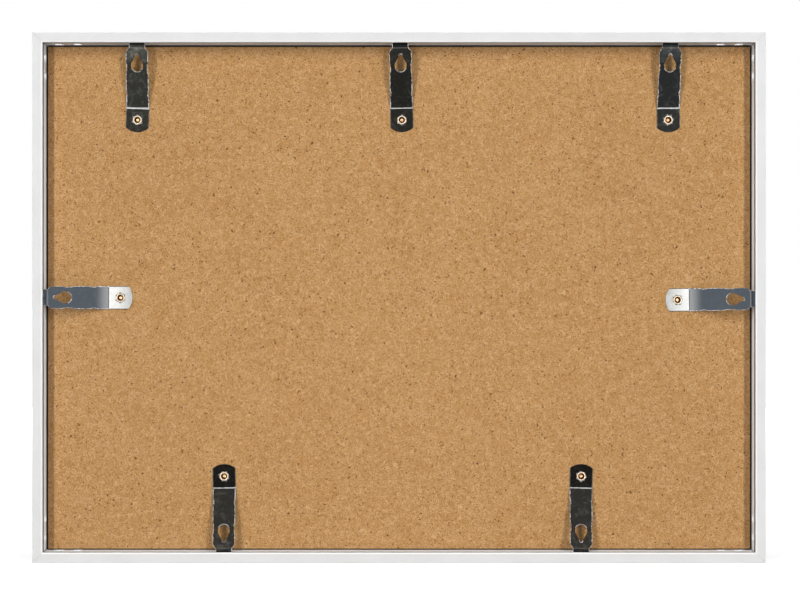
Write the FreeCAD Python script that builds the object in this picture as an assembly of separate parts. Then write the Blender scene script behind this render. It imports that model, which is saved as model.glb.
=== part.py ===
import FreeCAD, Part
import math
import os

# Framed picture back held by swivelling spring clips.
# Millimetres, +Z up. The picture faces -Y and the back of the frame lies on the wall plane, y = 0.
# The origin is on the wall plane, at the middle of the top rail's back flange.
# Left and right are as seen from behind, so the left side is at +X.

# Pack of sheets, from the back: board, insert, glass
board_width = 420.0
board_height = 300.0
board_thickness = 3.0
insert_thickness = 0.3
glass_thickness = 2.0
glass_edge_chamfer = 0.3
sheet_trim = 0.5
pack_side_clearance = 0.75
pack_drop = 0.35

# Rail profile, an aluminium extrusion with a closed chamber for the corner keys
frame_depth = 20.0
flange_width = 6.0
flange_thickness = 1.2
flange_lip_radius = 0.8
face_width = 10.0
face_thickness = 1.4
outer_wall_thickness = 1.2
web_thickness = 1.2
chamber_wall_thickness = 1.2
groove_height = 3.8
outer_edge_radius = 0.4
sight_edge_radius = 0.3
mitre_gap = 0.04
web_setback = 0.25

# Punched crimps that lock each rail on its corner key
crimp_distances = (8.1, 19.0)
crimp_width = 5.3
crimp_depth = 1.8
crimp_start_below_groove = 0.8
crimp_floor_above_board = 0.5

# Corner key, a bent bar in the chambers of two rails
key_arm_length = 31.0
key_fit = 0.1
key_corner_radius = 1.5

# Spring clip, distances along the clip from the rivet towards the tip
clip_thickness = 0.5
clip_tab_width = 13.7
clip_shoulder_width = 13.0
clip_tongue_width = 9.5
clip_end_radius = 10.5
clip_end_distance = 7.2
clip_crease_distance = 7.05
clip_cross_bend_distance = 33.3
clip_shoulder_distance = 39.5
clip_neck_distance = 41.7
clip_tip_bend_distance = 43.3
clip_tip_distance = 46.3
clip_corner_radius = 1.0
clip_bend_radius = 1.2
clip_second_slope_deg = 9.0
clip_tip_gap = 0.1
clip_seat_gap = 0.05

# Shallow nicks in both long edges of the clip: distance of the middle from the rivet, and length
clip_nick_distances = (15.4, 29.8)
clip_nick_lengths = (3.6, 5.9)
clip_nick_depth = 0.4
clip_nick_ramp = 0.9

# Teardrop hole for a nail
teardrop_distance = 31.45
teardrop_radius = 3.55
teardrop_point_distance = 37.2
teardrop_point_radius = 0.9

# Hollow rivet, split and rolled over the clip
rivet_bore_radius = 1.8
rivet_wall = 0.35
rivet_running_gap = 0.08
rivet_hole_clearance = 0.05
rivet_head_radius = 3.8
rivet_head_thickness = 0.5
rivet_head_sink = 0.1
rivet_head_sides = 12
rivet_blind_floor = 0.5
rivet_roll_radius = 2.65
rivet_roll_height = 0.6
rivet_roll_gap = 0.05

# Clips: name, side of the board, place along that side as a share of its half length
# (left and top count as positive), and lean in degrees
rivet_inset = 43.6
clip_place_shares = (
    ("top_left", "top", 0.744, -1.7),
    ("top_middle", "top", -0.008, 1.3),
    ("top_right", "top", -0.766, 0.4),
    ("left", "left", 0.0015, -0.3),
    ("right", "right", -0.0073, 0.9),
    ("bottom_left", "bottom", 0.4975, 1.1),
    ("bottom_right", "bottom", -0.5184, -1.6),
)
clip_headings_deg = {"left": 0.0, "top": 90.0, "right": 180.0, "bottom": 270.0}

# Overrun of every cut past the solid that it cuts
cut_overrun = 1.0

# Sizes worked out from the values above
opening_width = board_width + 2 * pack_side_clearance
opening_height = board_height + 2 * pack_side_clearance
outer_width = opening_width + 2 * flange_width
outer_height = opening_height + 2 * flange_width
glass_front = frame_depth - face_thickness
insert_front = glass_front - glass_thickness
board_front = insert_front - insert_thickness
board_back = board_front - board_thickness
crimp_floor = board_back - crimp_floor_above_board
crimp_boss_half_width = crimp_width / 2 + web_thickness
groove_floor = flange_thickness + groove_height
chamber_top = groove_floor + chamber_wall_thickness
web_inner_face = flange_width - web_thickness
origin_height = outer_height / 2 - flange_width / 2
rivet_shank_radius = rivet_bore_radius + rivet_wall
clip_bore_radius = rivet_shank_radius + rivet_running_gap

X_AXIS = FreeCAD.Vector(1, 0, 0)
Y_AXIS = FreeCAD.Vector(0, 1, 0)
Z_AXIS = FreeCAD.Vector(0, 0, 1)
ORIGIN = FreeCAD.Vector(0, 0, 0)


def rounded_edges(points, radii, closed):
    """Straight edges between the points, with a tangent arc of the given radius at each corner."""
    edges = []
    joints = []
    count = len(points)
    for i, corner in enumerate(points):
        is_end = not closed and i in (0, count - 1)
        if is_end or not radii[i]:
            joints.append((corner, corner))
            continue
        before = (points[i - 1] - corner).normalize()
        after = (points[(i + 1) % count] - corner).normalize()
        half_turn = (math.pi - before.getAngle(after)) / 2
        reach = radii[i] * math.tan(half_turn)
        start = corner + before * reach
        end = corner + after * reach
        sag = radii[i] / math.cos(half_turn) - radii[i]
        middle = corner + (before + after).normalize() * sag
        edges.append(Part.Arc(start, middle, end).toShape())
        joints.append((start, end))
    for i in range(count if closed else count - 1):
        start = joints[i][1]
        end = joints[(i + 1) % count][0]
        edges.append(Part.LineSegment(start, end).toShape())
    return edges


def rounded_outline(points, radii):
    """Closed wire through the points, with a tangent arc of the given radius at each corner."""
    return Part.Wire(Part.__sortEdges__(rounded_edges(points, radii, True)))


def prism(wire, direction, length):
    """Solid made by pushing a flat closed wire along a direction."""
    return Part.Face(wire).extrude(direction * length)


def turned_about_depth(shape, degrees):
    """Copy of a shape turned about the depth axis."""
    turned = shape.copy()
    turned.rotate(ORIGIN, Y_AXIS, degrees)
    return turned


def moved(shape, offset):
    """Copy of a shape moved by an offset."""
    placed = shape.copy()
    placed.translate(offset)
    return placed


def centred_slab(width, height, back, front):
    """Flat sheet centred on the frame, between two depths below the wall plane."""
    corner = FreeCAD.Vector(-width / 2, -front, -height / 2)
    return Part.makeBox(width, front - back, height, corner)


def rail_section(half_span):
    """Closed section of the rail that lies at the top of a frame of this half height."""
    outer = [
        (0.0, 0.0, outer_edge_radius),
        (flange_width, 0.0, flange_lip_radius),
        (flange_width, flange_thickness, 0.0),
        (outer_wall_thickness, flange_thickness, 0.0),
        (outer_wall_thickness, groove_floor, 0.0),
        (flange_width, groove_floor, sight_edge_radius),
        (flange_width, glass_front, 0.0),
        (face_width, glass_front, 0.0),
        (face_width, frame_depth, sight_edge_radius),
        (0.0, frame_depth, outer_edge_radius),
    ]
    chamber = [
        (outer_wall_thickness, chamber_top, 0.0),
        (web_inner_face, chamber_top, 0.0),
        (web_inner_face, glass_front, 0.0),
        (outer_wall_thickness, glass_front, 0.0),
    ]
    wires = []
    for loop in (outer, chamber):
        points = [FreeCAD.Vector(0, -depth, half_span - inward) for inward, depth, radius in loop]
        wires.append(rounded_outline(points, [radius for inward, depth, radius in loop]))
    return Part.Face(wires[0]).cut(Part.Face(wires[1])).Faces[0]


def mitre_prism(length, half_span, gap):
    """Region between the two mitre planes of the top rail, each set back by a gap."""
    slant_gap = gap * math.sqrt(2)
    half_outer = length / 2 - slant_gap
    reach = face_width + cut_overrun
    points = [
        FreeCAD.Vector(-half_outer - cut_overrun, cut_overrun, half_span + cut_overrun),
        FreeCAD.Vector(half_outer + cut_overrun, cut_overrun, half_span + cut_overrun),
        FreeCAD.Vector(half_outer - reach, cut_overrun, half_span - reach),
        FreeCAD.Vector(-half_outer + reach, cut_overrun, half_span - reach),
    ]
    outline = Part.makePolygon(points + points[:1])
    return prism(outline, -Y_AXIS, frame_depth + 2 * cut_overrun)


def crimp_cylinder(x, half_span):
    """Slanting round punch that leaves the web face flush near the groove and sinks in below."""
    radius = (crimp_width ** 2 / 4 + crimp_depth ** 2) / (2 * crimp_depth)
    start = groove_floor + crimp_start_below_groove
    slope = crimp_depth / (crimp_floor - start)
    direction = FreeCAD.Vector(0, -1, slope)
    inward = flange_width + radius + slope * start
    origin = FreeCAD.Vector(x, 0, half_span - inward)
    return Part.makeCylinder(radius, frame_depth * direction.Length, origin, direction)


def crimp_punch(x, half_span):
    """Hollow of one crimp, with a flat floor."""
    corner = FreeCAD.Vector(x - crimp_width, -crimp_floor, half_span - face_width)
    zone = Part.makeBox(2 * crimp_width, crimp_floor, face_width - outer_wall_thickness, corner)
    return crimp_cylinder(x, half_span).common(zone)


def crimp_boss(x, half_span):
    """Web metal that the punch pushes into the chamber."""
    floor = crimp_floor + web_thickness
    inner = flange_width - web_thickness / 2
    outer = web_inner_face - crimp_depth
    corner = FreeCAD.Vector(x - crimp_boss_half_width, -floor, half_span - inner)
    return Part.makeBox(2 * crimp_boss_half_width, floor - groove_floor, inner - outer, corner)


def crimp_places(length):
    """Places along a rail of this outer length where the web is punched."""
    half_opening = length / 2 - flange_width
    return [side * (half_opening - distance) for side in (-1, 1) for distance in crimp_distances]


def make_rail(length, half_span):
    """Mitred rail in the top position."""
    rail = rail_section(half_span).extrude(X_AXIS * length)
    rail.translate(-X_AXIS * length / 2)
    rail = rail.common(mitre_prism(length, half_span, mitre_gap))

    # The inner walls stop a little short of the mitre, which leaves the dark line at each corner
    inner_zone = Part.makeBox(
        length,
        glass_front - flange_thickness,
        flange_width + cut_overrun - outer_wall_thickness,
        FreeCAD.Vector(-length / 2, -glass_front, half_span - flange_width - cut_overrun),
    )
    rail = rail.cut(inner_zone.cut(mitre_prism(length, half_span, web_setback)))

    bosses = [crimp_boss(x, half_span) for x in crimp_places(length)]
    punches = [crimp_punch(x, half_span) for x in crimp_places(length)]
    return rail.fuse(bosses).cut(punches).removeSplitter()


def make_rails():
    """Four rails, each turned from the top position to its side."""
    long_rail = make_rail(outer_width, outer_height / 2)
    short_rail = make_rail(outer_height, outer_width / 2)
    return {
        "top_rail": long_rail,
        "left_rail": turned_about_depth(short_rail, 90),
        "bottom_rail": turned_about_depth(long_rail, 180),
        "right_rail": turned_about_depth(short_rail, 270),
    }


def make_corner_key():
    """Key of the corner at +X, +Z, with the outer corner of the frame at the origin."""
    near = outer_wall_thickness + key_fit
    far = web_inner_face - key_fit
    points = [
        FreeCAD.Vector(-near, 0, -near),
        FreeCAD.Vector(-near - key_arm_length, 0, -near),
        FreeCAD.Vector(-near - key_arm_length, 0, -far),
        FreeCAD.Vector(-far, 0, -far),
        FreeCAD.Vector(-far, 0, -near - key_arm_length),
        FreeCAD.Vector(-near, 0, -near - key_arm_length),
    ]
    wire = rounded_outline(points, [key_corner_radius, 0.0, 0.0, 0.0, 0.0, 0.0])
    wire.translate(-Y_AXIS * (chamber_top + key_fit))
    key = prism(wire, -Y_AXIS, glass_front - chamber_top - 2 * key_fit)

    # Notches that the punched web drops into
    notch_width = 2 * (crimp_boss_half_width + key_fit)
    notch_floor = web_inner_face - crimp_depth - key_fit
    notches = []
    for distance in crimp_distances:
        along = -flange_width - distance - notch_width / 2
        corner = FreeCAD.Vector(along, -frame_depth, -flange_width)
        notch = Part.makeBox(notch_width, frame_depth, flange_width - notch_floor, corner)
        notches.append(notch)
        notches.append(notch.mirror(ORIGIN, FreeCAD.Vector(1, 0, -1)))
    return key.cut(notches)


def make_corner_keys():
    """Four keys, one in each corner of the frame."""
    key = make_corner_key()
    corners = (
        ("top_left_corner_key", 0, 1, 1),
        ("bottom_left_corner_key", 90, 1, -1),
        ("bottom_right_corner_key", 180, -1, -1),
        ("top_right_corner_key", 270, -1, 1),
    )
    keys = {}
    for name, turn, side_x, side_z in corners:
        corner = FreeCAD.Vector(side_x * outer_width / 2, 0, side_z * outer_height / 2)
        keys[name] = moved(turned_about_depth(key, turn), corner)
    return keys


def clip_side_profile():
    """Side view of the bent strip: u along the clip, height above the board along Z."""
    rise = board_back - flange_thickness - clip_tip_gap - clip_thickness - clip_seat_gap
    second_slope = math.radians(clip_second_slope_deg)
    second_rise = (clip_tip_bend_distance - clip_cross_bend_distance) * math.tan(second_slope)
    bottom = clip_seat_gap
    heights = (bottom, bottom, bottom + rise - second_rise, bottom + rise, bottom + rise)
    stations = (
        -clip_end_distance,
        clip_crease_distance,
        clip_cross_bend_distance,
        clip_tip_bend_distance,
        clip_tip_distance,
    )
    lower = [FreeCAD.Vector(u, 0, height) for u, height in zip(stations, heights)]
    directions = [(lower[i + 1] - lower[i]).normalize() for i in range(len(lower) - 1)]
    upper = []
    for i, point in enumerate(lower):
        before = directions[max(i - 1, 0)]
        after = directions[min(i, len(directions) - 1)]
        bisector = (before + after).normalize()
        normal = FreeCAD.Vector(-bisector.z, 0, bisector.x)
        upper.append(point + normal * (clip_thickness / bisector.dot(after)))
    outside = clip_bend_radius + clip_thickness
    lower_radii = (0.0, outside, 0.0, 0.0, 0.0)
    upper_radii = (0.0, clip_bend_radius, 0.0, 0.0, 0.0)
    radii = list(lower_radii) + list(reversed(upper_radii))
    return rounded_outline(lower + list(reversed(upper)), radii)


def clip_plan_outline():
    """Outline of the clip seen square on, u along X and width along Y."""
    half_tab = clip_tab_width / 2
    half_shoulder = clip_shoulder_width / 2
    half_tongue = clip_tongue_width / 2
    sagitta = clip_end_radius - math.sqrt(clip_end_radius ** 2 - half_tab ** 2)
    side_start = sagitta - clip_end_distance
    tip = clip_tip_distance + cut_overrun
    corners = [
        (side_start, half_tab, 0.0),
        (clip_crease_distance, half_tab, 0.0),
        (clip_shoulder_distance, half_shoulder, clip_corner_radius),
        (clip_neck_distance, half_tongue, 0.0),
        (tip, half_tongue, 0.0),
    ]
    mirrored = [(u, -half, radius) for u, half, radius in reversed(corners)]
    points = [FreeCAD.Vector(u, half, 0) for u, half, radius in corners + mirrored]
    edges = rounded_edges(points, [radius for u, half, radius in corners + mirrored], False)
    end_middle = FreeCAD.Vector(-clip_end_distance, 0, 0)
    edges.append(Part.Arc(points[-1], end_middle, points[0]).toShape())
    return Part.Wire(Part.__sortEdges__(edges))


def clip_half_width(distance):
    """Half width of the tapering clip at a distance from the rivet."""
    run = (distance - clip_crease_distance) / (clip_shoulder_distance - clip_crease_distance)
    return (clip_tab_width + (clip_shoulder_width - clip_tab_width) * run) / 2


def clip_nicks(height):
    """Shallow cuts with ramped ends in both long edges."""
    nicks = []
    for distance, length in zip(clip_nick_distances, clip_nick_lengths):
        edge = clip_half_width(distance)
        half_floor = length / 2 - clip_nick_ramp
        half_mouth = length / 2 + clip_nick_ramp * cut_overrun / clip_nick_depth
        for side in (-1, 1):
            points = [
                FreeCAD.Vector(distance - half_floor, side * (edge - clip_nick_depth), 0),
                FreeCAD.Vector(distance + half_floor, side * (edge - clip_nick_depth), 0),
                FreeCAD.Vector(distance + half_mouth, side * (edge + cut_overrun), 0),
                FreeCAD.Vector(distance - half_mouth, side * (edge + cut_overrun), 0),
            ]
            nicks.append(prism(Part.makePolygon(points + points[:1]), Z_AXIS, height))
    return nicks


def teardrop_cutter(height):
    """Round hole that narrows to a small seat towards the tip of the clip."""
    spread = teardrop_point_distance - teardrop_distance
    lean = math.asin((teardrop_radius - teardrop_point_radius) / spread)
    tangents = []
    for centre, radius in (
        (teardrop_distance, teardrop_radius),
        (teardrop_point_distance, teardrop_point_radius),
    ):
        along = centre + radius * math.sin(lean)
        tangents.append((along, radius * math.cos(lean)))
    (wide_u, wide_half), (tight_u, tight_half) = tangents
    wide_top = FreeCAD.Vector(wide_u, wide_half, 0)
    wide_bottom = FreeCAD.Vector(wide_u, -wide_half, 0)
    tight_top = FreeCAD.Vector(tight_u, tight_half, 0)
    tight_bottom = FreeCAD.Vector(tight_u, -tight_half, 0)
    back = FreeCAD.Vector(teardrop_distance - teardrop_radius, 0, 0)
    point = FreeCAD.Vector(teardrop_point_distance + teardrop_point_radius, 0, 0)
    edges = [
        Part.Arc(wide_top, back, wide_bottom).toShape(),
        Part.LineSegment(wide_bottom, tight_bottom).toShape(),
        Part.Arc(tight_bottom, point, tight_top).toShape(),
        Part.LineSegment(tight_top, wide_top).toShape(),
    ]
    return prism(Part.Wire(edges), Z_AXIS, height)


def make_clip():
    """Spring clip with the rivet axis on Z and the board's back at height zero."""
    height = board_back + cut_overrun
    strip = prism(clip_side_profile(), Y_AXIS, clip_tab_width + 2 * cut_overrun)
    strip.translate(-Y_AXIS * (clip_tab_width / 2 + cut_overrun))
    clip = strip.common(prism(clip_plan_outline(), Z_AXIS, height))
    bore = Part.makeCylinder(clip_bore_radius, height)
    return clip.cut([bore, teardrop_cutter(height)] + clip_nicks(height)).removeSplitter()


def many_sided_disc(radius, base, thickness):
    """Disc on Z with a few flat sides, for the rivet's hidden head and its seat."""
    points = []
    for i in range(rivet_head_sides + 1):
        angle = 2 * math.pi * i / rivet_head_sides
        points.append(FreeCAD.Vector(radius * math.cos(angle), radius * math.sin(angle), base))
    return prism(Part.makePolygon(points), Z_AXIS, thickness)


def make_rivet():
    """Hollow rivet on Z: head sunk in the board's front, shank, and rolled end over the clip."""
    head_front = rivet_head_sink - board_thickness
    bore_floor = head_front + rivet_blind_floor
    roll_base = clip_seat_gap + clip_thickness + rivet_roll_gap
    roll_top = roll_base + rivet_roll_height
    roll_chamfer = min(rivet_roll_radius - rivet_bore_radius, rivet_roll_height) / 3
    loop = [
        (0.0, head_front),
        (rivet_shank_radius, head_front),
        (rivet_shank_radius, roll_base),
        (rivet_roll_radius, roll_base),
        (rivet_roll_radius, roll_top - roll_chamfer),
        (rivet_roll_radius - roll_chamfer, roll_top),
        (rivet_bore_radius, roll_top),
        (rivet_bore_radius, bore_floor),
        (0.0, bore_floor),
    ]
    points = [FreeCAD.Vector(radius, 0, height) for radius, height in loop]
    section = Part.Face(Part.makePolygon(points + points[:1]))
    head = many_sided_disc(rivet_head_radius, head_front, rivet_head_thickness)
    return section.revolve(ORIGIN, Z_AXIS, 360).fuse(head).removeSplitter()


def clip_frame(side, place_share, lean):
    """Placement on the board's back: the rivet's place and the clip's heading."""
    heading = clip_headings_deg[side] - lean
    half_width = board_width / 2
    half_height = board_height / 2
    spots = {
        "top": (place_share * half_width, half_height - rivet_inset),
        "bottom": (place_share * half_width, rivet_inset - half_height),
        "left": (half_width - rivet_inset, place_share * half_height),
        "right": (rivet_inset - half_width, place_share * half_height),
    }
    x, z = spots[side]
    laid_flat = FreeCAD.Rotation(X_AXIS, -90)
    return FreeCAD.Placement(
        FreeCAD.Vector(x, -board_back, z - pack_drop),
        FreeCAD.Rotation(Y_AXIS, -heading).multiply(laid_flat),
    )


def make_clips_and_rivets():
    """One clip and one rivet at each place."""
    clip = make_clip()
    rivet = make_rivet()
    nodes = {}
    for name, side, place_share, lean in clip_place_shares:
        placement = clip_frame(side, place_share, lean)
        nodes["spring_clip_" + name] = clip.transformed(placement.toMatrix())
        nodes["rivet_" + name] = rivet.transformed(placement.toMatrix())
    return nodes


def make_board():
    """Hardboard back with a hole and a sunk seat for each rivet head."""
    board = centred_slab(board_width, board_height, board_back, board_front)
    board.translate(-Z_AXIS * pack_drop)
    hole_radius = rivet_shank_radius + rivet_hole_clearance
    seat_radius = rivet_head_radius + rivet_hole_clearance
    seat_depth = rivet_head_sink + rivet_head_thickness + rivet_hole_clearance
    hole = Part.makeCylinder(hole_radius, board_thickness + 2 * cut_overrun)
    hole.translate(-Z_AXIS * (board_thickness + cut_overrun))
    seat = many_sided_disc(seat_radius, -board_thickness - cut_overrun, seat_depth + cut_overrun)
    cutter = hole.fuse(seat)
    cuts = []
    for name, side, place_share, lean in clip_place_shares:
        cuts.append(cutter.transformed(clip_frame(side, place_share, lean).toMatrix()))
    return board.cut(cuts)


def make_insert():
    """Plain paper sheet between the board and the glass."""
    width = board_width - sheet_trim
    height = board_height - sheet_trim
    return moved(centred_slab(width, height, board_front, insert_front), -Z_AXIS * pack_drop)


def make_glass():
    """Glass pane with ground edges."""
    width = board_width - sheet_trim
    height = board_height - sheet_trim
    pane = moved(centred_slab(width, height, insert_front, glass_front), -Z_AXIS * pack_drop)
    return pane.makeChamfer(glass_edge_chamfer, pane.Edges)


def main():
    """Build every sub-part and write one file for each."""
    nodes = {}
    nodes.update(make_rails())
    nodes.update(make_corner_keys())
    nodes["glass_pane"] = make_glass()
    nodes["insert_sheet"] = make_insert()
    nodes["back_board"] = make_board()
    nodes.update(make_clips_and_rivets())

    os.makedirs("parts", exist_ok=True)
    for name, shape in nodes.items():
        placed = moved(shape, -Z_AXIS * origin_height)
        placed.exportStep("parts/" + name + ".step")
        box = placed.BoundBox
        print(name, len(placed.Solids), placed.isValid(), round(placed.Volume, 1),
              round(box.XLength, 2), round(box.YLength, 2), round(box.ZLength, 2))


main()
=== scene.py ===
import math
import random

import bmesh
import bpy
from mathutils import Matrix, Vector

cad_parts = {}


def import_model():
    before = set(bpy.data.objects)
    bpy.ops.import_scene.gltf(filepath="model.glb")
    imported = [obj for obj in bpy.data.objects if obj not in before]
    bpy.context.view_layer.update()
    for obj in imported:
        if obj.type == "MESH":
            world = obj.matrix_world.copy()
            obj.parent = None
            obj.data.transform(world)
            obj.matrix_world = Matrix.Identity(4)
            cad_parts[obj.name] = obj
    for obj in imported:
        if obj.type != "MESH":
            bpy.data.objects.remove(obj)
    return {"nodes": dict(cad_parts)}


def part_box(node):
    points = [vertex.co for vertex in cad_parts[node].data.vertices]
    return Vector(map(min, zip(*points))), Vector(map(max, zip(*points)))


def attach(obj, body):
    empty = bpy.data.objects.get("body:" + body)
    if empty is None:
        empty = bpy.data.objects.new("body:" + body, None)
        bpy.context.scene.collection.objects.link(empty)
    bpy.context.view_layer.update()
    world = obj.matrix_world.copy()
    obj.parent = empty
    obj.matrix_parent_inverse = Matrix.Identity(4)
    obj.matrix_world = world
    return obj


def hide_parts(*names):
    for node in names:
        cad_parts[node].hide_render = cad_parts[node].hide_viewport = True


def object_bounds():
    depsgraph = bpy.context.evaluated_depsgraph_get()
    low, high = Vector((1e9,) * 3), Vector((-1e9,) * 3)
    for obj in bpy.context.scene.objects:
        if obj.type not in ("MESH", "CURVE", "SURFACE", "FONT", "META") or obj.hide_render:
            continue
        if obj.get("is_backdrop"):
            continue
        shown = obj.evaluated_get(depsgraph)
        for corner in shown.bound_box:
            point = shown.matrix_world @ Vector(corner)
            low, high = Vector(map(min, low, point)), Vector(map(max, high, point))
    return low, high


# Looks of a white aluminium picture frame seen from behind, with a hardboard back held by seven
# swivelling spring clips. Metres, in the frame's own coordinates: +Z up, the back faces +Y.

MM = 0.001
WHITE = (1.0, 1.0, 1.0, 1.0)

# Photograph: its size, and where the middle of the frame lies in it
PHOTO_WIDTH_PX = 800
PHOTO_HEIGHT_PX = 595
FRAME_CENTRE_PX = (399.0, 297.5)
FRAME_WIDTH_PX = 733.8

# Camera distance from the back of the frame, and its sensor
CAMERA_DISTANCE = 1150 * MM
SENSOR_WIDTH = 36.0

# Hollow rivet: heights and depths are measured from the back of the board
RIVET_BORE_RADIUS = 1.8 * MM
RIVET_ROLL_RADIUS = 2.65 * MM
RIVET_ROLL_BASE = 0.6 * MM
RIVET_ROLL_TOP = 1.2 * MM
# The roll turns about a seat a little over its base, from just below it on the outside
RIVET_ROLL_SEAT = 0.12
RIVET_ROLL_LEAD = 0.1
RIVET_ROLL_TURN = 1.1
RIVET_ROLL_STEPS = 14
RIVET_BORE_DEPTH = 1.3 * MM
RIVET_FLOOR_RADIUS = 1.2 * MM
# The bore narrows to its floor, which is dished: shares of its radius, and the height at each
RIVET_BORE_TAPER = 0.15 * MM
RIVET_FLOOR_DISH = ((1.0, 0.1 * MM), (0.6, 0.02 * MM))
RIVET_SHANK_RADIUS = 2.15 * MM
RIVET_HEAD_RADIUS = 3.8 * MM
RIVET_HEAD_THICKNESS = 0.5 * MM
RIVET_HEAD_DEPTH = 2.9 * MM
RIVET_HEAD_BEVEL = 0.1 * MM
RIVET_SIDES = 64
# Heights over the bore's floor where its scraped floor ends, and where the painted shade down the
# bore ends
RIVET_SCRAPED_HEIGHTS = (0.02 * MM, 0.1 * MM)
RIVET_BORE_SHADE_HEIGHTS = (1.75 * MM, 2.15 * MM)

# Split petals: each starts at a valley and turns through shoulder, tip and shoulder
PETAL_BASE = 0.58 * MM
PETAL_THICKNESS = 0.1 * MM
PETAL_ROOT_LIFT = 1.6
PETAL_TIP_LIFT = 0.4
PETAL_INNER_RADIUS = 2.3 * MM
PETAL_VALLEY_RADIUS = 2.75 * MM
PETAL_TIP_RADII = (3.05 * MM, 3.7 * MM)
PETAL_COUNTS = (6, 8)
PETAL_WANDER = 0.18
PETAL_TURNS = ((0.3, 0.4), (0.46, 0.54), (0.6, 0.7))
PETAL_RISES = (0.6, 0.2, 0.6)

# Spring clip, distances along it from the rivet towards the tip. Nicks are given by middle and
# length, and the teardrop hole's two ends by middle and radius.
CLIP_END = -7.2 * MM
CLIP_END_RADIUS = 10.5 * MM
CLIP_CREASE = 7.05 * MM
CLIP_SHOULDER = 39.5 * MM
CLIP_NECK = 41.7 * MM
CLIP_HALF_TAB = 6.85 * MM
CLIP_HALF_SHOULDER = 6.5 * MM
CLIP_HALF_TONGUE = 4.75 * MM
CLIP_NICKS = ((15.4 * MM, 3.6 * MM), (29.8 * MM, 5.9 * MM))
CLIP_NICK_DEPTH = 0.4 * MM
CLIP_NICK_RAMP = 0.9 * MM
TEARDROP_WIDE = (31.45 * MM, 3.55 * MM)
TEARDROP_POINT = (37.2 * MM, 0.9 * MM)
CLIP_TIP_REACH = 0.5 * MM

# Marks on the clips, most of them painted highlights and shade: where each begins and ends beside
# its line
TAB_FADE = (-1.0 * MM, 0.0)
CREASE_SHADE_LINE = (0.1 * MM, 0.25 * MM)
CREASE_WAVER = 0.15 * MM
CREASE_SOFTNESS = 0.1 * MM
SLOPE_PAINTED_GLOW_REACH = (0.2 * MM, 8.0 * MM)
TONGUE_SHADE_REACH = (0.0, 0.2 * MM)
BEND_HIGHLIGHT = (0.2 * MM, 0.55 * MM)
RIM_WIDTHS = (0.08 * MM, 0.26 * MM)
SIDE_CLIP_RIM_WIDTHS = (0.08 * MM, 0.12 * MM)
HOLE_RIM_WIDTH = 0.3 * MM

# Smears and scuffs on the clips: a smear's gain in light, and how much each kind of clip has
SMEAR_GAIN = (2.3, 2.3, 2.3, 1.0)
UPRIGHT_CLIP_WEAR = 1.0
SIDE_CLIP_WEAR = 0.2

# Board: share of its tone left beside each rail and at its arris, as painted shade, and the reach
# of both
MARGIN_SHADES = {
    "left": (0.66, 0.1),
    "right": (0.77, 0.1),
    "top": (0.9, 1.0),
    "bottom": (0.92, 0.1),
}
MARGIN_WIDTHS = (3.0 * MM, 5.0 * MM)
ARRIS_WIDTHS = (0.3 * MM, 0.45 * MM)
FIBRE_TURNS_DEG = (8.0, 52.0, 97.0, 141.0)
PALE_FIBRE_TURN_DEG = 21.0
FIBRE_WANDER = 4.0 * MM

# Rail section: distances inwards from its outer side, and depths below the back
FLANGE_WIDTH = 6.0 * MM
OUTER_WALL = 1.2 * MM
GROOVE_DEPTHS = (1.2 * MM, 5.0 * MM)
LIP_SIDE = 5.1 * MM
ZONE_GAP = 0.1 * MM
CRIMP_DROP = 0.5 * MM

# Floor, seen as white where it is far away, and the light that the surroundings give
FLOOR_HALF_SIZE = 40.0
FLOOR_TONE = (0.45, 0.45, 0.45, 1.0)
FLOOR_GLOW_REACH = (0.6, 2.2)
FLOOR_GLOW = (0.67, 1.0)
AMBIENT = 0.03

# Lamps for matt light: name, place from the middle of the frame's back, size, radiance
SIDE_LAMPS = (
    ("strip", (1.15, 2.65, 0.95), (0.22, 2.4), 24.4),
    ("side_fill", (2.6, 0.2, 0.2), (0.4, 1.2), 18.0),
)
MIDDLE_LAMPS = (
    ("top_fill", (0.0, 0.2, 2.6), (1.6, 0.4), 13.0),
    ("front_fill", (0.0, -1.6, 0.1), (1.8, 1.2), 4.3),
)

# Panels that only the steel mirrors: name, distance from the middle, size, radiance
PANEL_DISTANCE = 1.6
SIDE_PANELS = (
    ("tab_panel", 0.429, (0.072, 0.2), 32.0),
    ("tab_edge_panel", 0.3515, (0.083, 0.2), 8.5),
    ("slope_panel", 0.74, (0.5, 0.5), 2.4),
)
MIDDLE_PANEL = ("tip_panel", 0.0, (0.3, 0.2), 2.4)


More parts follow.
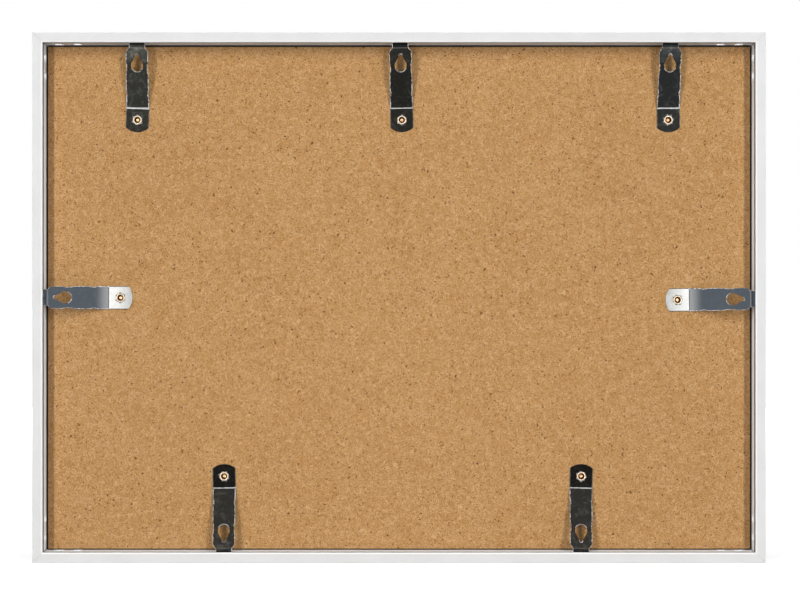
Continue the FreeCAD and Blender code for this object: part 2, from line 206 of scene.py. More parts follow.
class Graph:
    """Short way to write a material's or the world's node tree."""

    def __init__(self, owner):
        owner.use_nodes = True
        self.tree = owner.node_tree
        self.tree.nodes.clear()

    def add(self, kind, values=(), **settings):
        """New node with its settings, and with numbers or links for its inputs."""
        node = self.tree.nodes.new("ShaderNode" + kind)
        for name, setting in settings.items():
            setattr(node, name, setting)
        for key, value in dict(values).items():
            if isinstance(value, bpy.types.NodeSocket):
                self.tree.links.new(value, node.inputs[key])
            else:
                node.inputs[key].default_value = value
        return node

    def math(self, operation, first, second=0.0):
        """Result of one operation on one or two numbers."""
        return self.add("Math", {0: first, 1: second}, operation=operation).outputs[0]

    def length(self, vector):
        """Length of a vector."""
        return self.add("VectorMath", {0: vector}, operation="LENGTH").outputs["Value"]

    def dot(self, vector, axis):
        """Distance of a point along an axis."""
        values = {0: vector, 1: tuple(axis)}
        return self.add("VectorMath", values, operation="DOT_PRODUCT").outputs["Value"]

    def noise(self, vector, scale, detail=2.0, roughness=0.5, distortion=0.0):
        """Grey noise from 0 to 1, with the scale in cells per metre."""
        values = {
            "Vector": vector,
            "Scale": scale,
            "Detail": detail,
            "Roughness": roughness,
            "Distortion": distortion,
        }
        return self.add("TexNoise", values).outputs[0]

    def span(self, value, low, high, out_low=0.0, out_high=1.0, smooth=True):
        """Value carried from one range to another and held at its ends."""
        values = {
            "Value": value,
            "From Min": low,
            "From Max": high,
            "To Min": out_low,
            "To Max": out_high,
        }
        kind = "SMOOTHSTEP" if smooth else "LINEAR"
        return self.add("MapRange", values, interpolation_type=kind).outputs[0]

    def mix(self, share, first, second, blend="MIX"):
        """Blend of two colours, which are inputs 6 and 7 of the node."""
        node = self.add("Mix", {"Factor": share}, data_type="RGBA", blend_type=blend)
        for index, value in ((6, first), (7, second)):
            if isinstance(value, bpy.types.NodeSocket):
                self.tree.links.new(value, node.inputs[index])
            else:
                node.inputs[index].default_value = value
        return node.outputs[2]

    def stretched(self, vector, scale, turn_deg=0.0):
        """Coordinates turned about the depth axis, then stretched along each axis."""
        values = {
            "Vector": vector,
            "Rotation": (0.0, math.radians(turn_deg), 0.0),
            "Scale": scale,
        }
        return self.add("Mapping", values, vector_type="TEXTURE").outputs[0]

    def bump(self, height, distance, strength):
        """Normal bent by a height given in shares of a distance."""
        values = {"Height": height, "Distance": distance, "Strength": strength}
        return self.add("Bump", values).outputs[0]

    def seen_directly(self):
        """One for rays from the eye, off a mirror or through glass, nought for the others."""
        rays = self.add("LightPath").outputs
        seen = self.math("MAXIMUM", rays["Is Camera Ray"], rays["Is Glossy Ray"])
        return self.math("MAXIMUM", seen, rays["Is Transmission Ray"])

    def finish(self, values):
        """Principled surface, linked to the output."""
        shader = self.add("BsdfPrincipled", values)
        self.add("OutputMaterial", {"Surface": shader.outputs[0]})


def rgb(red, green, blue):
    """Linear colour of a display colour given from 0 to 255."""
    linear = []
    for value in (red, green, blue):
        share = value / 255
        linear.append(share / 12.92 if share <= 0.04045 else ((share + 0.055) / 1.055) ** 2.4)
    return (*linear, 1.0)


def grey(value):
    """Linear grey of a display value from 0 to 255."""
    return rgb(value, value, value)


# Tones of each clip's flat tab and of its slope: one dark steel, set lighter or darker per clip and
# per face as painted light
CLIP_PAINTED_TONES = {
    "top_left": (rgb(50, 49, 45), rgb(50, 50, 46)),
    "top_middle": (rgb(41, 40, 36), rgb(34, 34, 31)),
    "top_right": (rgb(47, 48, 46), rgb(40, 41, 41)),
    "left": (rgb(54, 54, 53), rgb(46, 50, 54)),
    "right": (rgb(54, 54, 53), rgb(46, 50, 54)),
    "bottom_left": (rgb(26, 25, 23), rgb(50, 48, 44)),
    "bottom_right": (rgb(26, 25, 23), rgb(50, 48, 44)),
}

# Half width of the rubbed strip at each clip's crease, worn and also a painted highlight; the side
# clips have none
CREASE_STRIPS = {
    "top_left": 0.6 * MM,
    "top_middle": 0.38 * MM,
    "top_right": 0.5 * MM,
    "left": 0.0,
    "right": 0.0,
    "bottom_left": 0.36 * MM,
    "bottom_right": 0.36 * MM,
}


def new_graph(name):
    """New material, the graph that makes it, and its object coordinates."""
    material = bpy.data.materials.new(name)
    graph = Graph(material)
    place = graph.add("TexCoord").outputs["Object"]
    return material, graph, place


def facing_back(graph):
    """How squarely a surface faces the back or the front, from 0 to 1."""
    normal = graph.add("NewGeometry").outputs["True Normal"]
    local = graph.add("VectorTransform", {0: normal}, vector_type="NORMAL",
                      convert_from="WORLD", convert_to="OBJECT")
    parts = graph.add("SeparateXYZ", {0: local.outputs[0]})
    return graph.math("ABSOLUTE", parts.outputs[1])


def between(graph, value, low, high, soft=0.05 * MM):
    """One between two limits, nought outside."""
    return graph.math("MULTIPLY", graph.span(value, low - soft, low + soft),
                      graph.span(value, high - soft, high + soft, 1.0, 0.0))


def recess(graph, place, zone):
    """One inside a box given by its lowest and highest corner, nought outside."""
    parts = graph.add("SeparateXYZ", {0: place})
    inside = 1.0
    for i in range(3):
        within = between(graph, parts.outputs[i], zone[0][i], zone[1][i])
        inside = graph.math("MULTIPLY", inside, within)
    return inside


def rail_zone(box, inset, deepest, shallowest):
    """Box inset from the frame's outer sides, between two depths below its back."""
    low, high = box
    return (
        (low.x + inset, -deepest, low.z + inset),
        (high.x - inset, -shallowest, high.z - inset),
    )


def white_coat(zones):
    """White powder coat on aluminium: fine orange peel and faint clouding, painted highlights on
    lip and web, bare at the crimps, painted shade in the groove and near-black painted shade in the
    rebate."""
    material, graph, place = new_graph("white_powder_coat")
    cloud = graph.noise(place, 45.0, 3.0)
    speckle = graph.noise(place, 2600.0, 1.0)
    tone = graph.mix(graph.span(cloud, 0.3, 0.7), grey(227), grey(232))
    tone = graph.mix(graph.span(speckle, 0.62, 0.8, 0.0, 0.35), tone, grey(214))

    # Painted highlight on the lip, and a lighter, cooler painted highlight on the web
    tone = graph.mix(recess(graph, place, zones["lip"]), tone, grey(248))
    tone = graph.mix(recess(graph, place, zones["web"]), tone, rgb(240, 244, 248))
    crimp = graph.math("MULTIPLY", recess(graph, place, zones["crimps"]),
                       graph.span(facing_back(graph), 0.05, 0.15))
    tone = graph.mix(crimp, tone, grey(235))
    # Near-black painted shade in the rebate beside the board, and dark painted shade in the groove
    # under the flange
    tone = graph.mix(recess(graph, place, zones["rebate"]), tone, grey(6))
    tone = graph.mix(recess(graph, place, zones["groove"]), tone, grey(46))

    rub = graph.noise(place, 160.0, 4.0, 0.7, 1.5)
    rough = graph.span(rub, 0.45, 0.75, 0.36, 0.5)
    peel = graph.noise(place, 1500.0, 1.5)
    graph.finish({
        "Base Color": tone,
        "Metallic": graph.math("MULTIPLY", crimp, 0.9),
        "Roughness": rough,
        "IOR": 1.48,
        "Specular IOR Level": 0.3,
        "Normal": graph.bump(peel, 0.02 * MM, 0.5),
    })
    return material


def key_metal():
    """Dull pressed metal of the hidden corner keys."""
    material, graph, place = new_graph("pressed_key_metal")
    grain = graph.noise(graph.stretched(place, (1.0, 0.17, 1.0)), 900.0, 3.0)
    graph.finish({
        "Base Color": graph.mix(grain, grey(150), grey(176)),
        "Metallic": 1.0,
        "Roughness": graph.span(grain, 0.2, 0.8, 0.35, 0.55),
        "Normal": graph.bump(grain, 0.02 * MM, 0.4),
    })
    return material


def clear_glass():
    """Clear float glass with a faint green body, which lets the light through to the paper."""
    material, graph, place = new_graph("clear_float_glass")
    waviness = graph.noise(place, 14.0, 1.0)
    glass = graph.add("BsdfPrincipled", {
        "Base Color": rgb(247, 253, 250),
        "Transmission Weight": 1.0,
        "IOR": 1.5,
        "Roughness": graph.span(graph.noise(place, 30.0, 3.0), 0.5, 0.9, 0.0, 0.03),
        "Normal": graph.bump(waviness, 0.01 * MM, 0.2),
    })
    rays = graph.add("LightPath").outputs
    passing = graph.math("MAXIMUM", rays["Is Shadow Ray"], rays["Is Diffuse Ray"])
    open_air = graph.add("BsdfTransparent", {"Color": WHITE})
    both = graph.add("MixShader", {0: passing, 1: glass.outputs[0], 2: open_air.outputs[0]})
    graph.add("OutputMaterial", {"Surface": both.outputs[0]})
    return material


def plain_paper():
    """Plain off-white paper with soft fibres."""
    material, graph, place = new_graph("plain_insert_paper")
    fibre = graph.noise(graph.stretched(place, (1.0, 1.0, 0.45), 25.0), 900.0, 4.0, 0.6, 1.2)
    cloud = graph.noise(place, 90.0, 3.0)
    tone = graph.mix(graph.span(cloud, 0.3, 0.7), grey(236), rgb(241, 240, 236))
    tone = graph.mix(graph.span(fibre, 0.55, 0.8, 0.0, 0.25), tone, grey(222))
    graph.finish({
        "Base Color": tone,
        "Roughness": 0.85,
        "Specular IOR Level": 0.3,
        "Normal": graph.bump(fibre, 0.03 * MM, 0.4),
    })
    return material


def fibre_layer(graph, place, turn_deg, scale, shift, low, high):
    """Short thin fibres along one direction, from 0 to 1."""
    away = (shift, shift * 0.37, -shift)
    shifted = graph.add("VectorMath", {0: place, 1: away}, operation="ADD")
    lines = graph.stretched(shifted.outputs[0], (1.0, 1.0, 3.6), turn_deg)
    return graph.span(graph.noise(lines, scale, 2.0, 0.5, 0.4), low, high)


def board_painted_shade(graph, place, box):
    """Share of the board's tone left near its sides, as painted shade beside the rails and at the
    arris.
    """
    low, high = box
    parts = graph.add("SeparateXYZ", {0: place}).outputs
    share = 1.0
    for inset, shade, arris in (
        (graph.math("SUBTRACT", high.x, parts[0]), *MARGIN_SHADES["left"]),
        (graph.math("SUBTRACT", parts[0], low.x), *MARGIN_SHADES["right"]),
        (graph.math("SUBTRACT", high.z, parts[2]), *MARGIN_SHADES["top"]),
        (graph.math("SUBTRACT", parts[2], low.z), *MARGIN_SHADES["bottom"]),
    ):
        band = graph.span(inset, *MARGIN_WIDTHS, shade, 1.0)
        corner = graph.span(inset, *ARRIS_WIDTHS, arris, 1.0)
        share = graph.math("MULTIPLY", share, graph.math("MULTIPLY", band, corner))
    return graph.add("CombineColor", {0: share, 1: share, 2: share}).outputs[0]


def hardboard(box):
    """Pressed brown fibre board: clouds, short fibres all ways, dark specks, sawn edges, and
    painted shade near its sides.
    """
    material, graph, place = new_graph("pressed_hardboard")
    wander = graph.add("TexNoise", {"Vector": place, "Scale": 220.0, "Detail": 1.0}).outputs[1]
    bent = graph.add(
        "VectorMath", {0: wander, 1: (FIBRE_WANDER,) * 3, 2: place}, operation="MULTIPLY_ADD"
    ).outputs[0]

    cloud = graph.noise(place, 38.0, 3.0, 0.55)
    patch = graph.noise(place, 260.0, 3.0, 0.6)
    grain = graph.noise(bent, 1500.0, 3.0, 0.65)
    tone = graph.mix(graph.span(cloud, 0.3, 0.7), rgb(191, 145, 90), rgb(200, 155, 98))
    tone = graph.mix(graph.span(patch, 0.38, 0.62, 0.0, 0.7), tone, rgb(211, 168, 118))
    tone = graph.mix(graph.span(grain, 0.42, 0.64, 0.0, 0.9), tone, rgb(166, 116, 58))

    dark = 0.0
    pale = 0.0
    for index, turn in enumerate(FIBRE_TURNS_DEG):
        fibre = fibre_layer(graph, bent, turn, 1250.0, 0.31 + index, 0.64, 0.7)
        dark = graph.math("MAXIMUM", dark, fibre)
        fibre = fibre_layer(graph, bent, turn + PALE_FIBRE_TURN_DEG, 1100.0, 5.7 + index, 0.61, 0.7)
        pale = graph.math("MAXIMUM", pale, fibre)
    tone = graph.mix(graph.math("MULTIPLY", pale, 0.5), tone, rgb(226, 186, 138))
    tone = graph.mix(graph.math("MULTIPLY", dark, 0.5), tone, rgb(116, 72, 28))

    specks = graph.add("TexVoronoi", {"Vector": bent, "Scale": 470.0, "Randomness": 1.0})
    speck_size = graph.add("SeparateColor", {0: specks.outputs["Color"]})
    reach = graph.span(speck_size.outputs[0], 0.5, 1.0, 0.0, 0.27)
    speck = graph.math("SUBTRACT", reach, specks.outputs["Distance"])
    tone = graph.mix(graph.span(speck, 0.0, 0.04, 0.0, 0.85), tone, rgb(92, 52, 22))

    sawn = graph.span(facing_back(graph), 0.5, 0.8, 1.0, 0.0)
    saw_line = graph.noise(graph.stretched(place, (1.0, 0.11, 1.0)), 700.0, 3.0)
    edge_tone = graph.mix(saw_line, rgb(176, 140, 98), rgb(222, 194, 152))
    tone = graph.mix(sawn, tone, edge_tone)
    # Painted shade beside the rails and at the arris
    tone = graph.mix(1.0, tone, board_painted_shade(graph, place, box), "MULTIPLY")

    height = graph.math("MULTIPLY", grain, 0.5)
    relief = graph.math("SUBTRACT", graph.math("ADD", height, pale), dark)
    graph.finish({
        "Base Color": tone,
        "Roughness": graph.span(grain, 0.3, 0.7, 0.55, 0.75),
        "Specular IOR Level": 0.35,
        "Normal": graph.bump(relief, 0.05 * MM, 0.35),
    })
    return material


def clip_directions(clip, centre):
    """Direction from the rivet to the clip's tip, and the direction across the clip."""
    flat = [Vector((v.co.x - centre.x, 0.0, v.co.z - centre.z)) for v in clip.data.vertices]
    reach = max(offset.length for offset in flat)
    tip = Vector()
    for offset in flat:
        if offset.length > reach - CLIP_TIP_REACH:
            tip += offset
    along = tip.normalized()
    return along, along.cross(Vector((0.0, 1.0, 0.0)))


def clip_rim(graph, u, v):
    """Distances inwards from a clip's nearest outer edge and from its teardrop hole."""
    across = graph.math("ABSOLUTE", v)
    half = graph.span(
        u, CLIP_CREASE, CLIP_SHOULDER, CLIP_HALF_TAB, CLIP_HALF_SHOULDER, smooth=False
    )
    neck = graph.span(
        u, CLIP_SHOULDER, CLIP_NECK, CLIP_HALF_SHOULDER, CLIP_HALF_TONGUE, smooth=False
    )
    half = graph.math("MINIMUM", half, neck)
    for middle, length in CLIP_NICKS:
        beside = graph.math("ABSOLUTE", graph.math("SUBTRACT", u, middle))
        cut = graph.span(
            beside, length / 2 - CLIP_NICK_RAMP, length / 2, CLIP_NICK_DEPTH, 0.0, smooth=False
        )
        half = graph.math("SUBTRACT", half, cut)
    side = graph.math("SUBTRACT", half, across)

    arc_centre = CLIP_END + CLIP_END_RADIUS
    before = graph.math("MINIMUM", graph.math("SUBTRACT", u, arc_centre), 0.0)
    reach = graph.add("CombineXYZ", {0: before, 1: v})
    end = graph.math("SUBTRACT", CLIP_END_RADIUS, graph.length(reach.outputs[0]))

    (wide, wide_radius), (point, point_radius) = TEARDROP_WIDE, TEARDROP_POINT
    slope = (wide_radius - point_radius) / (point - wide)
    lean = math.tan(math.asin(slope))
    nearest = graph.math("ADD", u, graph.math("MULTIPLY", across, lean))
    nearest = graph.span(nearest, wide, point, wide, point, smooth=False)
    radius = graph.span(nearest, wide, point, wide_radius, point_radius, smooth=False)
    reach = graph.add("CombineXYZ", {0: graph.math("SUBTRACT", u, nearest), 1: v})
    hole = graph.math("SUBTRACT", graph.length(reach.outputs[0]), radius)
    return graph.math("MINIMUM", side, end), hole


def spring_steel(name, clip, centre, painted_tones, strip_half, wear):
    """Dark polished spring steel with painted light in each face's tone: smears, scuffs, bright cut
    edges with painted highlight rims, painted shade on the tongue with a painted highlight at its
    bend, and a rubbed strip at the crease that is also a painted highlight. A clip without a strip
    has a painted shade line at the crease and a painted reflection glowing up its slope."""
    material, graph, place = new_graph("dark_spring_steel_" + name)
    along, across = clip_directions(clip, centre)
    offset = graph.add("VectorMath", {0: place, 1: tuple(centre)}, operation="SUBTRACT").outputs[0]
    u, v = [graph.dot(offset, axis) for axis in (along, across)]
    past = graph.math("SUBTRACT", u, CLIP_CREASE)

    scuff = graph.noise(place, 620.0, 5.0, 0.75, 2.5)
    smear = graph.noise(place, 240.0, 4.0, 0.65, 1.2)
    # Tab and slope take their own tones: painted light and shade on one steel
    on_slope = graph.span(past, -0.05 * MM, 0.05 * MM)
    tone = graph.mix(on_slope, *painted_tones)
    light = graph.mix(1.0, tone, SMEAR_GAIN, "MULTIPLY")
    tone = graph.mix(graph.span(smear, 0.48, 0.72, 0.0, wear), tone, light)
    tone = graph.mix(graph.span(scuff, 0.6, 0.72, 0.0, 0.7 * wear), tone, rgb(116, 120, 110))

    from_crease = graph.math("ABSOLUTE", past)
    uneven = graph.span(graph.noise(place, 420.0, 3.0), 0.35, 0.65, 0.0, CREASE_WAVER)
    off_crease = graph.math("ADD", from_crease, uneven)
    strip_side = (strip_half - CREASE_SOFTNESS, strip_half + CREASE_SOFTNESS)
    strip = graph.span(off_crease, *strip_side, 1.0, 0.0)
    # Crease of an upright clip: rubbed strip, lightened as a painted highlight
    if strip_half:
        tone = graph.mix(strip, tone, grey(165))
    else:
        # Painted shade line along the crease, and a painted reflection glowing up the slope from it
        line = graph.span(from_crease, *CREASE_SHADE_LINE, 1.0, 0.0)
        painted_glow = graph.span(past, *SLOPE_PAINTED_GLOW_REACH, 0.55, 0.0)
        tone = graph.mix(graph.math("MULTIPLY", on_slope, painted_glow), tone, grey(112))
        tone = graph.mix(graph.math("MULTIPLY", line, 0.7), tone, grey(20))

    # Painted dark shade on the tongue past the neck
    past_bend = graph.math("SUBTRACT", u, CLIP_NECK)
    tone = graph.mix(graph.span(past_bend, *TONGUE_SHADE_REACH, 0.0, 0.55), tone, grey(14))
    # Painted highlight across the bend at the neck
    bend_highlight = graph.span(graph.math("ABSOLUTE", past_bend), *BEND_HIGHLIGHT, 0.4, 0.0)
    tone = graph.mix(bend_highlight, tone, grey(96))

    # Bright bare steel on the cut edges; a thin rim along the outline and round the teardrop hole
    # is a painted highlight, and on the tab the edges are painted dark as shade
    burr = graph.noise(place, 700.0, 2.0)
    edge_tone = graph.mix(graph.span(burr, 0.35, 0.65), grey(104), grey(198))
    edge_tone = graph.mix(graph.span(past, *TAB_FADE, 0.8, 0.0), edge_tone, grey(30))
    cut_edge = graph.span(facing_back(graph), 0.82, 0.92, 1.0, 0.0)
    rim_widths = RIM_WIDTHS if strip_half else SIDE_CLIP_RIM_WIDTHS
    width = graph.span(burr, 0.3, 0.7, *rim_widths)
    width = graph.math("MULTIPLY", width, graph.span(past, *TAB_FADE, 0.1, 1.0))
    outer, hole = clip_rim(graph, u, v)
    outer_rim = graph.math("LESS_THAN", outer, width)
    hole_rim = graph.math("LESS_THAN", hole, HOLE_RIM_WIDTH)
    rim = graph.math("MAXIMUM", outer_rim, hole_rim)
    tone = graph.mix(graph.math("MAXIMUM", cut_edge, rim), tone, edge_tone)

    rough = graph.span(smear, 0.3, 0.75, 0.07, 0.12)
    rough = graph.math("MAXIMUM", rough, graph.math("MULTIPLY", strip, 0.4))
    graph.finish({
        "Base Color": tone,
        "Metallic": 1.0,
        "Roughness": graph.math("MAXIMUM", rough, graph.math("MULTIPLY", rim, 0.45)),
        "Normal": graph.bump(scuff, 0.003 * MM, 0.4),
    })
    return material


def rivet_brass(bore_floor):
    """Bright warm plated rim, dark brown painted shade down the bore, pale scraped floor."""
    material, graph, place = new_graph("plated_rivet_brass")
    height = graph.add("SeparateXYZ", {0: place}).outputs[1]
    mottle = graph.noise(place, 1400.0, 3.0, 0.6, 1.0)
    rim = graph.mix(graph.span(mottle, 0.35, 0.7), rgb(252, 238, 220), rgb(214, 186, 150))
    wall = graph.mix(mottle, rgb(70, 40, 16), rgb(110, 72, 36))
    floor = graph.mix(graph.span(mottle, 0.35, 0.65), rgb(236, 196, 150), rgb(176, 126, 80))
    over_floor = graph.math("SUBTRACT", height, bore_floor)
    # Painted shade darkens the bore and the foot of the roll
    tone = graph.mix(graph.span(over_floor, *RIVET_BORE_SHADE_HEIGHTS), wall, rim)
    tone = graph.mix(graph.span(over_floor, *RIVET_SCRAPED_HEIGHTS, 1.0, 0.0), tone, floor)
    graph.finish({
        "Base Color": tone,
        "Metallic": 1.0,
        "Roughness": graph.span(mottle, 0.3, 0.8, 0.22, 0.42),
        "Normal": graph.bump(mottle, 0.02 * MM, 0.4),
    })
    return material


def petal_metal():
    """Grey plated metal of the split petals."""
    material, graph, place = new_graph("plated_petal_metal")
    wear = graph.noise(place, 1800.0, 3.0, 0.6)
    graph.finish({
        "Base Color": graph.mix(graph.span(wear, 0.3, 0.7), grey(84), rgb(150, 146, 136)),
        "Metallic": 1.0,
        "Roughness": graph.span(wear, 0.3, 0.7, 0.3, 0.45),
        "Normal": graph.bump(wear, 0.02 * MM, 0.4),
    })
    return material


def link_new(name, mesh, materials):
    """Object of a new mesh, with its materials."""
    piece = bpy.data.objects.new(name, mesh)
    bpy.context.scene.collection.objects.link(piece)
    for material in materials:
        mesh.materials.append(material)
    return piece


def revolved(mesh, profile, sides):
    """Closed turned body on the depth axis: the profile runs from axis to axis."""
    rings = []
    for radius, height in profile:
        if not radius:
            rings.append([mesh.verts.new((0.0, height, 0.0))])
            continue
        ring = []
        for i in range(sides):
            angle = 2 * math.pi * i / sides
            spot = (radius * math.cos(angle), height, radius * math.sin(angle))
            ring.append(mesh.verts.new(spot))
        rings.append(ring)
    for first, second in zip(rings, rings[1:]):
        for i in range(sides):
            j = (i + 1) % sides
            corners = [first[i % len(first)], first[j % len(first)],
                       second[j % len(second)], second[i % len(second)]]
            mesh.faces.new(list(dict.fromkeys(corners))).smooth = True


def rivet_profile():
    """Section of the hollow rivet, from the middle of its head to the middle of its bore floor."""
    head_back = RIVET_HEAD_THICKNESS - RIVET_HEAD_DEPTH
    head = [
        (0.0, -RIVET_HEAD_DEPTH),
        (RIVET_HEAD_RADIUS - RIVET_HEAD_BEVEL, -RIVET_HEAD_DEPTH),
        (RIVET_HEAD_RADIUS, -RIVET_HEAD_DEPTH + RIVET_HEAD_BEVEL),
        (RIVET_HEAD_RADIUS, head_back),
        (RIVET_SHANK_RADIUS, head_back),
        (RIVET_SHANK_RADIUS, RIVET_ROLL_BASE),
    ]
    middle = (RIVET_ROLL_RADIUS + RIVET_BORE_RADIUS) / 2
    half = (RIVET_ROLL_RADIUS - RIVET_BORE_RADIUS) / 2
    rise = RIVET_ROLL_TOP - RIVET_ROLL_BASE
    seat = RIVET_ROLL_BASE + RIVET_ROLL_SEAT * rise
    roll = []
    for i in range(RIVET_ROLL_STEPS + 1):
        turn = math.pi * (i / RIVET_ROLL_STEPS) * RIVET_ROLL_TURN
        angle = turn - RIVET_ROLL_LEAD * math.pi
        height = seat + (1 - RIVET_ROLL_SEAT) * rise * math.sin(angle)
        roll.append((middle + half * math.cos(angle), height))
    bore = [
        (RIVET_BORE_RADIUS, 0.0),
        (RIVET_FLOOR_RADIUS + RIVET_BORE_TAPER, -RIVET_BORE_DEPTH / 2),
    ]
    for share, lift in RIVET_FLOOR_DISH:
        bore.append((RIVET_FLOOR_RADIUS * share, -RIVET_BORE_DEPTH + lift))
    bore.append((0.0, -RIVET_BORE_DEPTH))
    return head + roll + bore


def petals(mesh, rng):
    """Star of split metal, bent down flat round the rim."""
    count = rng.randint(*PETAL_COUNTS)
    points = []
    for i in range(count):
        start = 2 * math.pi * (i + rng.uniform(-PETAL_WANDER, PETAL_WANDER)) / count
        step = 2 * math.pi / count
        tip = rng.uniform(*PETAL_TIP_RADII)
        shoulder = (tip + PETAL_VALLEY_RADIUS) / 2
        points.append((start, PETAL_VALLEY_RADIUS, 1.0))
        for turn, radius, rise in zip(PETAL_TURNS, (shoulder, tip, shoulder), PETAL_RISES):
            points.append((start + step * rng.uniform(*turn), radius, rise))
    layers = []
    for lift in (PETAL_THICKNESS, 0.0):
        outer = []
        inner = []
        root_height = PETAL_BASE + lift * PETAL_ROOT_LIFT
        for angle, radius, rise in points:
            height = PETAL_BASE + lift * (PETAL_TIP_LIFT + (1 - PETAL_TIP_LIFT) * rise)
            for ring, distance, level in (
                (outer, radius, height),
                (inner, PETAL_INNER_RADIUS, root_height),
            ):
                spot = (distance * math.cos(angle), level, distance * math.sin(angle))
                ring.append(mesh.verts.new(spot))
        layers.append((outer, inner))
    (top_outer, top_inner), (low_outer, low_inner) = layers
    total = len(points)
    for i in range(total):
        j = (i + 1) % total
        for corners in (
            (top_inner[i], top_inner[j], top_outer[j], top_outer[i]),
            (low_outer[i], low_outer[j], low_inner[j], low_inner[i]),
            (top_outer[i], top_outer[j], low_outer[j], low_outer[i]),
            (low_inner[i], low_inner[j], top_inner[j], top_inner[i]),
        ):
            mesh.faces.new(corners).material_index = 1


def make_rivet(name, materials, board_back):
    """Detailed rivet in place of the plain one of the same name."""
    low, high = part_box("rivet_" + name)
    rng = random.Random("rivet_" + name)
    mesh = bmesh.new()
    revolved(mesh, rivet_profile(), RIVET_SIDES)
    petals(mesh, rng)
    bmesh.ops.recalc_face_normals(mesh, faces=mesh.faces)
    centre = Vector(((low.x + high.x) / 2, board_back, (low.z + high.z) / 2))
    mesh.transform(Matrix.Translation(centre))
    data = bpy.data.meshes.new("rolled_rivet_" + name)
    mesh.to_mesh(data)
    mesh.free()
    piece = link_new("rolled_rivet_" + name, data, materials)
    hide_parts("rivet_" + name)
    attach(piece, "frame")


def make_floor(height):
    """Plain pale floor under the frame, which keeps the object's shadow."""
    data = bpy.data.meshes.new("floor")
    signs = ((-1, -1), (1, -1), (1, 1), (-1, 1))
    corners = [(x * FLOOR_HALF_SIZE, y * FLOOR_HALF_SIZE, height) for x, y in signs]
    data.from_pydata(corners, [], [(0, 1, 2, 3)])
    material, graph, place = new_graph("pale_floor")
    lit = graph.add("BsdfDiffuse", {"Color": FLOOR_TONE})
    whiteness = graph.span(graph.length(place), *FLOOR_GLOW_REACH, *FLOOR_GLOW)
    glow = graph.add("Emission", {
        "Color": WHITE,
        "Strength": graph.math("MULTIPLY", graph.seen_directly(), whiteness),
    })
    both = graph.add("AddShader", {0: lit.outputs[0], 1: glow.outputs[0]})
    graph.add("OutputMaterial", {"Surface": both.outputs[0]})
    floor = link_new("floor", data, [material])
    floor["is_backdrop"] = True


def make_world():
    """White surroundings for the eye and for reflections, and a faint light on the object."""
    world = bpy.data.worlds.new("studio")
    bpy.context.scene.world = world
    graph = Graph(world)
    strength = graph.span(graph.seen_directly(), 0.0, 1.0, AMBIENT, 1.0, smooth=False)
    sky = graph.add("Background", {"Color": WHITE, "Strength": strength})
    graph.add("OutputWorld", {"Surface": sky.outputs[0]})


def lamp(name, place, target, size, radiance, seen_by):
    """Rectangular lamp that faces a target, for matt light or for reflections only."""
    data = bpy.data.lights.new(name, "AREA")
    data.shape = "RECTANGLE"
    data.size, data.size_y = size
    data.energy = radiance * math.pi * data.size * data.size_y
    light = bpy.data.objects.new(name, data)
    bpy.context.scene.collection.objects.link(light)
    light.location = place
    light.rotation_mode = "QUATERNION"
    light.rotation_quaternion = (Vector(target) - Vector(place)).to_track_quat("-Z", "Y")
    light.visible_camera = False
    light.visible_diffuse = seen_by == "matt"
    light.visible_glossy = seen_by == "gloss"


def panel(name, spot, size, radiance):
    """Panel square on to the frame, seen in reflections only."""
    lamp(name, spot, spot - Vector((0.0, 1.0, 0.0)), size, radiance, "gloss")


def make_lamps(centre):
    """Two tall strips for the shadows, soft fill all round, and panels for the steel."""
    for side in (-1, 1):
        for name, (x, y, z), size, radiance in SIDE_LAMPS:
            lamp(name, centre + Vector((side * x, y, z)), centre, size, radiance, "matt")
        for name, x, size, radiance in SIDE_PANELS:
            panel(name, centre + Vector((side * x, PANEL_DISTANCE, 0.0)), size, radiance)
    name, x, size, radiance = MIDDLE_PANEL
    panel(name, centre + Vector((x, PANEL_DISTANCE, 0.0)), size, radiance)
    for name, place, size, radiance in MIDDLE_LAMPS:
        lamp(name, centre + Vector(place), centre, size, radiance, "matt")


def make_camera(centre, frame_width):
    """Camera square on to the back, with the frame where the photograph has it."""
    span = frame_width * PHOTO_WIDTH_PX / FRAME_WIDTH_PX
    pixel = span / PHOTO_WIDTH_PX
    data = bpy.data.cameras.new("camera")
    data.sensor_width = SENSOR_WIDTH
    data.lens = SENSOR_WIDTH * CAMERA_DISTANCE / span
    camera = bpy.data.objects.new("camera", data)
    bpy.context.scene.collection.objects.link(camera)
    aside = (FRAME_CENTRE_PX[0] - PHOTO_WIDTH_PX / 2) * pixel
    raised = (FRAME_CENTRE_PX[1] - PHOTO_HEIGHT_PX / 2) * pixel
    camera.location = centre + Vector((aside, CAMERA_DISTANCE, raised))
    camera.rotation_euler = (math.radians(90), 0.0, math.radians(180))
    bpy.context.scene.camera = camera


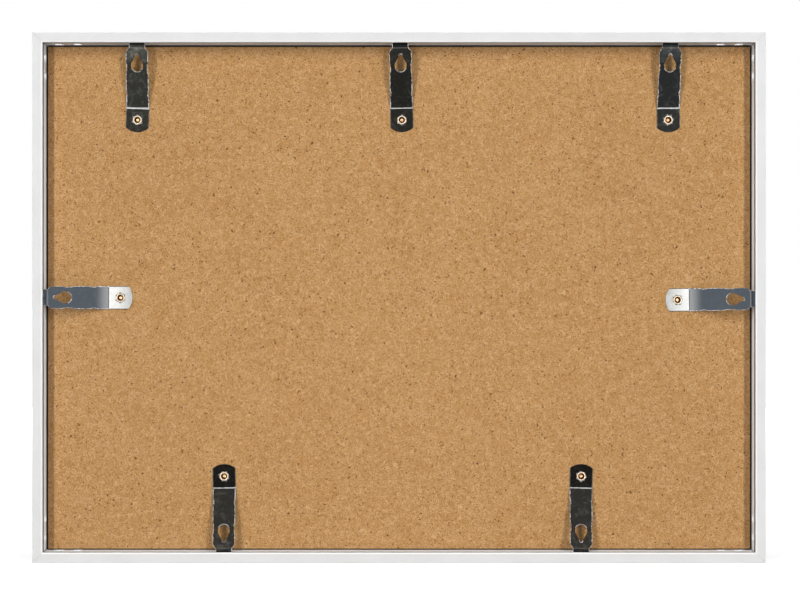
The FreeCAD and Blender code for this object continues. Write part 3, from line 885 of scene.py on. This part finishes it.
def main():
    """Dress the frame, light it and set the camera."""
    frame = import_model()
    cad_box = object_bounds()
    low, high = cad_box
    nodes = frame["nodes"]
    board_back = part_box("back_board")[1].y
    board_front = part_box("glass_pane")[0].y
    centre = Vector((0.0, high.y, (low.z + high.z) / 2))
    web_side = FLANGE_WIDTH - OUTER_WALL / 2
    groove_top, groove_floor = GROOVE_DEPTHS
    over_board = -board_back - ZONE_GAP
    # Rail zones of the coat: painted highlights on lip and web, bare metal at the crimps, painted
    # shade in groove and rebate
    zones = {
        "lip": rail_zone(cad_box, LIP_SIDE, groove_top, -groove_top),
        "groove": rail_zone(
            cad_box, OUTER_WALL / 2, groove_floor + ZONE_GAP, groove_top - ZONE_GAP
        ),
        "web": rail_zone(cad_box, web_side, -board_back, groove_floor),
        "crimps": rail_zone(cad_box, 2 * OUTER_WALL, over_board, groove_floor + CRIMP_DROP),
        "rebate": rail_zone(cad_box, web_side, -board_front + ZONE_GAP, over_board),
    }

    finishes = {
        "white_coat": white_coat(zones),
        "key_metal": key_metal(),
        "clear_glass": clear_glass(),
        "plain_paper": plain_paper(),
        "hardboard": hardboard(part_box("back_board")),
        "rivet_brass": rivet_brass(board_back - RIVET_BORE_DEPTH),
    }
    for name, piece in nodes.items():
        if name.startswith("spring_clip_"):
            place = name.removeprefix("spring_clip_")
            box_low, box_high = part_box("rivet_" + place)
            rivet = (box_low + box_high) / 2
            wear = SIDE_CLIP_WEAR if place in ("left", "right") else UPRIGHT_CLIP_WEAR
            piece.material_slots[0].material = spring_steel(
                place, piece, rivet, CLIP_PAINTED_TONES[place], CREASE_STRIPS[place], wear
            )
            continue
        for slot in piece.material_slots:
            slot.material = finishes[slot.material.name]

    rivet_materials = [finishes["rivet_brass"], petal_metal()]
    for name in nodes:
        if name.startswith("rivet_"):
            make_rivet(name.removeprefix("rivet_"), rivet_materials, board_back)

    make_floor(low.z)
    make_world()
    make_lamps(centre)
    make_camera(centre, high.x - low.x)
    bpy.context.scene.view_settings.view_transform = "Standard"
    return cad_box


cad_box = main()
